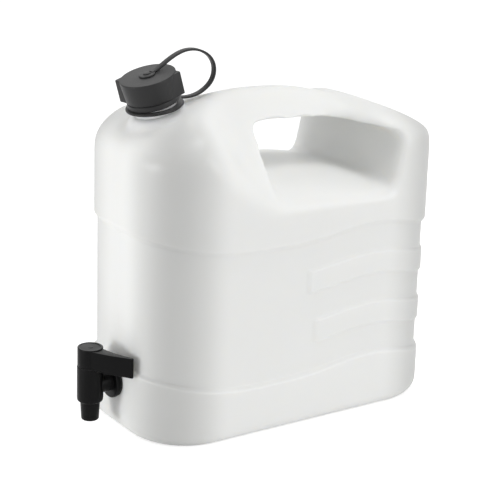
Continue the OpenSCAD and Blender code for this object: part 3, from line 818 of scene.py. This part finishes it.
def headShell():
    # a disc with a hole, on the cap's stud
    low, hub, outer = cap["z1"] + tether["play"], cap["studRadius"] + tether["play"], tether["headRadius"]
    high = low + tether["headThickness"]
    disc = roundedPath([[hub, low], [outer, low], [outer, high], [hub, high]], [0.1, 0.2, 0.9, 0.2],
                       closed=True, steps=5)
    return lathe(disc, 96, closed=True)


def strapShell():
    # a rounded flat section carried along the smoothed path
    path = cutCorners(np.array(tether["path"], float), 4)
    along = np.gradient(path, axis=0)
    along /= np.linalg.norm(along, axis=1, keepdims=True)
    side = np.stack([-along[:, 1], along[:, 0]], 1)
    half, w = tether["thickness"] / 2, tether["width"] / 2
    section = roundedPath([[-half, -w], [half, -w], [half, w], [-half, w]], [0.6] * 4, closed=True, steps=4)
    flat = path[:, None] + side[:, None] * section[None, :, :1]
    return loft(np.stack([flat[..., 0], -section[None, :, 1] + 0 * flat[..., 0], flat[..., 1]], -1))


tetherShells = [(onNeck(points), faces) for points, faces in (ringShell(), headShell(), strapShell())]
tetherMesh = rawMesh("capTether", tetherShells, middleX)
tetherPiece = addPiece("capTether", tetherMesh, None, blackPlastic, "black_pe", "tether", sharp=50)
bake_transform(tetherPiece)


# Tap
tap = {
    "z": 46, "valveX": -174, "chamberTop": 63, "chamberHeight": 31, "chamberRadius": 11.3, "chamberBore": 7.6,
    "nozzleRadius": 8.5, "nozzleTaper": 0.9, "nozzleBore": 5.8, "nozzleHeight": 18, "floor": 2,
    "barrelRadius": 9.3, "flangeRadius": 15.5, "flangeX": -156.4, "flangeThickness": 4, "shankRadius": 10.4,
    "shankEnd": -134.4, "inletRadius": 5.4, "saddle": 9.6,
}
lever = {
    "hubRadius": 11, "armRadius": 10.7, "height": 15.5, "hubStep": 1.6, "armStep": 0.3, "length": 41,
    "tipRadius": 1.75, "droop": 4.2, "topFall": 3.3, "hollowFrom": 18, "hollow": 1.6,
    "bulgeFrom": 250, "bulge": 1.7, "turn": -57, "gap": 0.3, "edge": 0.7,
}
lever["base"] = tap["chamberTop"] + lever["gap"]


def chamberShell():
    # valve chamber and nozzle, turned round the upright axis
    top, r, bore = tap["chamberTop"], tap["chamberRadius"], tap["chamberBore"]
    low = top - tap["chamberHeight"]
    end, floor = low - tap["nozzleHeight"], low + tap["floor"]
    n, way = tap["nozzleRadius"], tap["nozzleBore"]
    outline = roundedPath(
        [[way, end], [n - tap["nozzleTaper"], end], [n, low - 1.6], [n + 0.6, low - 1.2],
         [r - 0.3, low - 0.2], [r, floor], [r, top], [bore, top], [bore, floor], [way, floor]],
        [0.5, 1.6, 0.3, 0.3, 0.9, 0.9, 0.5, 0.3, 0.3, 0.3], closed=True, steps=6)
    points, faces = lathe(outline, 128, closed=True)
    return points + [tap["valveX"], 0, 0], faces


def barrelShell():
    # barrel, flange and shank, turned round the level axis; the start is hollowed to lie in the
    # chamber's wall
    near = tap["flangeX"] - tap["valveX"]
    far = near + tap["flangeThickness"]
    end = tap["shankEnd"] - tap["valveX"]
    way, shank, flange, r = tap["inletRadius"], tap["shankRadius"], tap["flangeRadius"], tap["barrelRadius"]
    outline = roundedPath(
        [[way, 0], [way, end], [shank, end], [shank, far], [flange, far], [flange, near], [r, near], [r, 0]],
        [0.05, 0.4, 0.6, 0.05, 0.5, 1.3, 0.8, 0.05], closed=True, steps=6)[::-1]
    points, faces = lathe(outline, 128, closed=True)
    placed = alongX(points, tap["valveX"], tap["z"])
    hollow = tap["valveX"] + np.sqrt(np.maximum(tap["saddle"] ** 2 - placed[:, 1] ** 2, 0))
    placed[:, 0] = np.maximum(placed[:, 0], hollow)
    return placed, faces


def armOutline(shrink, steps=33):
    # anticlockwise from the tip: round the tip, back along the hollow side to the hub, round the hub,
    # and out along the bulging side; the whole line stands in by shrink
    r, tip = lever["armRadius"] - shrink, lever["tipRadius"] - shrink
    reach = lever["length"] - lever["tipRadius"]
    turn = np.linspace(-np.pi / 2, np.pi / 2, 11)
    leave, arrive = np.radians(lever["hollowFrom"]), np.radians(lever["bulgeFrom"])
    hub = np.linspace(leave, arrive, steps)
    f = np.linspace(0, 1, 14)[1:-1, None]
    start, end = r * np.array([np.cos(leave), np.sin(leave)]), np.array([reach, tip])
    hollow = end + (start - end) * f - [0, lever["hollow"]] * np.sin(np.pi * f)
    start, end = r * np.array([np.cos(arrive), np.sin(arrive)]), np.array([reach, -tip])
    bulge = start + (end - start) * f - [0, lever["bulge"]] * np.sin(np.pi * f)
    return np.concatenate([np.stack([reach + tip * np.cos(turn), tip * np.sin(turn)], 1), hollow,
                           np.stack([r * np.cos(hub), r * np.sin(hub)], 1), bulge])


def armShell():
    # the outline stands in along the round edges at top and bottom; the top falls evenly to the tip, and the
    # underside rises to it from just past the chamber
    tall = lever["height"] + lever["hubStep"] - lever["armStep"]
    inset, height = roundedEdge(lever["edge"], 0, tall, np.linspace(0, 90, 5))
    outlines = np.stack([armOutline(d) for d in inset])
    past = tap["chamberRadius"] + lever["gap"]
    along = np.clip(outlines[..., 0] / (lever["length"] - lever["tipRadius"]), 0, 1.05)
    low = (height < lever["height"] / 2)[:, None]
    rise = lever["droop"] * along * ramp(outlines[..., 0], past, past + 2)
    fall = np.where(low, rise, lever["topFall"] * along)
    return loft(np.concatenate([outlines, (lever["base"] + height[:, None] - fall)[..., None]], -1))


def hubShell():
    # a turned cap with a dished top
    r, low = lever["hubRadius"], lever["base"]
    top = low + lever["height"] + lever["hubStep"]
    profile = roundedPath(
        [[0, low], [r, low], [r, top], [r - 1.8, top], [r - 2.6, top - 0.7], [2.6, top - 0.9],
         [2.2, top - 0.4], [0, top - 0.3]],
        [0, 0.5, 0.9, 0.5, 0.5, 0.3, 0.3, 0], steps=6)
    return lathe(profile, 96)


def leverMesh():
    # the lever with the CAD plug below it
    shells = [(turnedAbout(points, lever["turn"]) + [tap["valveX"], 0, 0], faces)
              for points, faces in (armShell(), hubShell())]
    mesh = rawMesh("tapLever", shells, middleX)
    work = bmesh.new()
    work.from_mesh(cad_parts["tap_lever"].data)
    merge(work)
    cut = cutAt(work, tap["chamberTop"] + lever["gap"] / 2, clear_outer=True)
    bmesh.ops.holes_fill(work, edges=[e for e in cut["geom_cut"] if isinstance(e, bmesh.types.BMEdge)])
    work.from_mesh(mesh)
    work.to_mesh(mesh)
    work.free()
    return mesh


tapMesh = rawMesh("tapBody", [chamberShell(), barrelShell()], middleX)
addPiece("tapBody", tapMesh, "can", tapPlastic, "black_pe", "tap_body", sharp=50)
addPiece("tapLever", leverMesh(), "tap_lever", tapPlastic, "black_pe", "tap_lever", sharp=50)

for name in ("cap_seal", "tap_seal", "plug_ring"):
    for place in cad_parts[name].material_slots:
        place.material = sealRubber
print("pieces made")


# Camera: where the photograph was taken from, about the can's middle
view = {"azimuth": -34.51, "elevation": 18.32, "roll": 1.92, "lens": 127.68, "distance": 1581.4,
        "target": (-8.685, 5.972, 138.81)}
# lamps, in metres and watts, aimed at a point in the can
aim = np.array([0, 0, 0.15])
lamps = {
    "key": {"spot": (1.4, -2.9, 0.9), "size": 1.4, "power": 33},
    "fill": {"spot": (-2.0, 0.1, 0.22), "size": 0.7, "power": 17},
    "top": {"spot": (0.1, -0.1, 2.0), "size": 0.9, "power": 9.5},
}
# how bright the world is to the can's diffuse light and to what sees it, and what the floor adds
studio = {"worldDiffuse": 0.5, "worldSeen": 1.0, "floorTone": 0.8, "floorLift": 0.62, "floorReach": 9.0}


def standingAt(right, back, spot):
    # the matrix of a camera or lamp at spot that looks against back
    matrix = np.eye(4)
    matrix[:3] = np.stack([right, np.cross(back, right), back, spot], 1)
    return Matrix(matrix.tolist())


def addCamera():
    a, e, roll = (np.radians(view[key]) for key in ("azimuth", "elevation", "roll"))
    back = np.array([np.sin(a) * np.cos(e), -np.cos(a) * np.cos(e), np.sin(e)])
    level = np.array([np.cos(a), np.sin(a), 0])
    right = np.cos(roll) * level + np.sin(roll) * np.cross(back, level)
    eye = np.array(view["target"]) + [middleX, 0, 0] + back * view["distance"]
    camera = addObject("camera", bpy.data.cameras.new("camera"))
    camera.data.lens = view["lens"]
    camera.data.sensor_width = 36
    camera.matrix_world = standingAt(right, back, eye * mm)
    bpy.context.scene.camera = camera


def addLamp(name, spot, size, power):
    lamp = bpy.data.lights.new(name, "AREA")
    lamp.shape = "DISK"
    lamp.size = size
    lamp.energy = power
    back = np.array(spot, float) - aim
    back /= np.linalg.norm(back)
    right = np.cross([0, 0, 1], back)
    right /= np.linalg.norm(right)
    addObject(name, lamp).matrix_world = standingAt(right, back, spot)


def seenDirectly(tree):
    # 1 for camera, glossy and transmission rays
    path = addNode(tree, "ShaderNodeLightPath").outputs
    seen = calc(tree, "MAXIMUM", path["Is Camera Ray"], path["Is Glossy Ray"])
    return calc(tree, "MAXIMUM", seen, path["Is Transmission Ray"])


def addStage():
    world = bpy.data.worlds.new("studio")
    world.use_nodes = True
    bpy.context.scene.world = world
    tree = world.node_tree
    level = spread(tree, seenDirectly(tree), 0.0, 1.0, studio["worldDiffuse"], studio["worldSeen"])
    tree.links.new(level, tree.nodes["Background"].inputs["Strength"])
    tree.nodes["Background"].inputs["Color"].default_value = (1, 1, 1, 1)
    mesh = bpy.data.meshes.new("floor")
    reach = studio["floorReach"]
    mesh.from_pydata([(-reach, -reach, 0), (reach, -reach, 0), (reach, reach, 0), (-reach, reach, 0)], [],
                     [(0, 1, 2, 3)])
    floor = addObject("floor", mesh)
    material = bpy.data.materials.new("paleFloor")
    material.use_nodes = True
    tree = material.node_tree
    shader = tree.nodes["Principled BSDF"]
    shader.inputs["Base Color"].default_value = (studio["floorTone"],) * 3 + (1,)
    shader.inputs["Roughness"].default_value = 0.9
    shader.inputs["Specular IOR Level"].default_value = 0.1
    shader.inputs["Emission Color"].default_value = (1, 1, 1, 1)
    lift = calc(tree, "MULTIPLY", seenDirectly(tree), studio["floorLift"])
    tree.links.new(lift, shader.inputs["Emission Strength"])
    mesh.materials.append(material)


addCamera()
addStage()
for name, lamp in lamps.items():
    addLamp(name, **lamp)
bpy.context.scene.view_settings.view_transform = "Standard"
print("camera, lights and stage made")
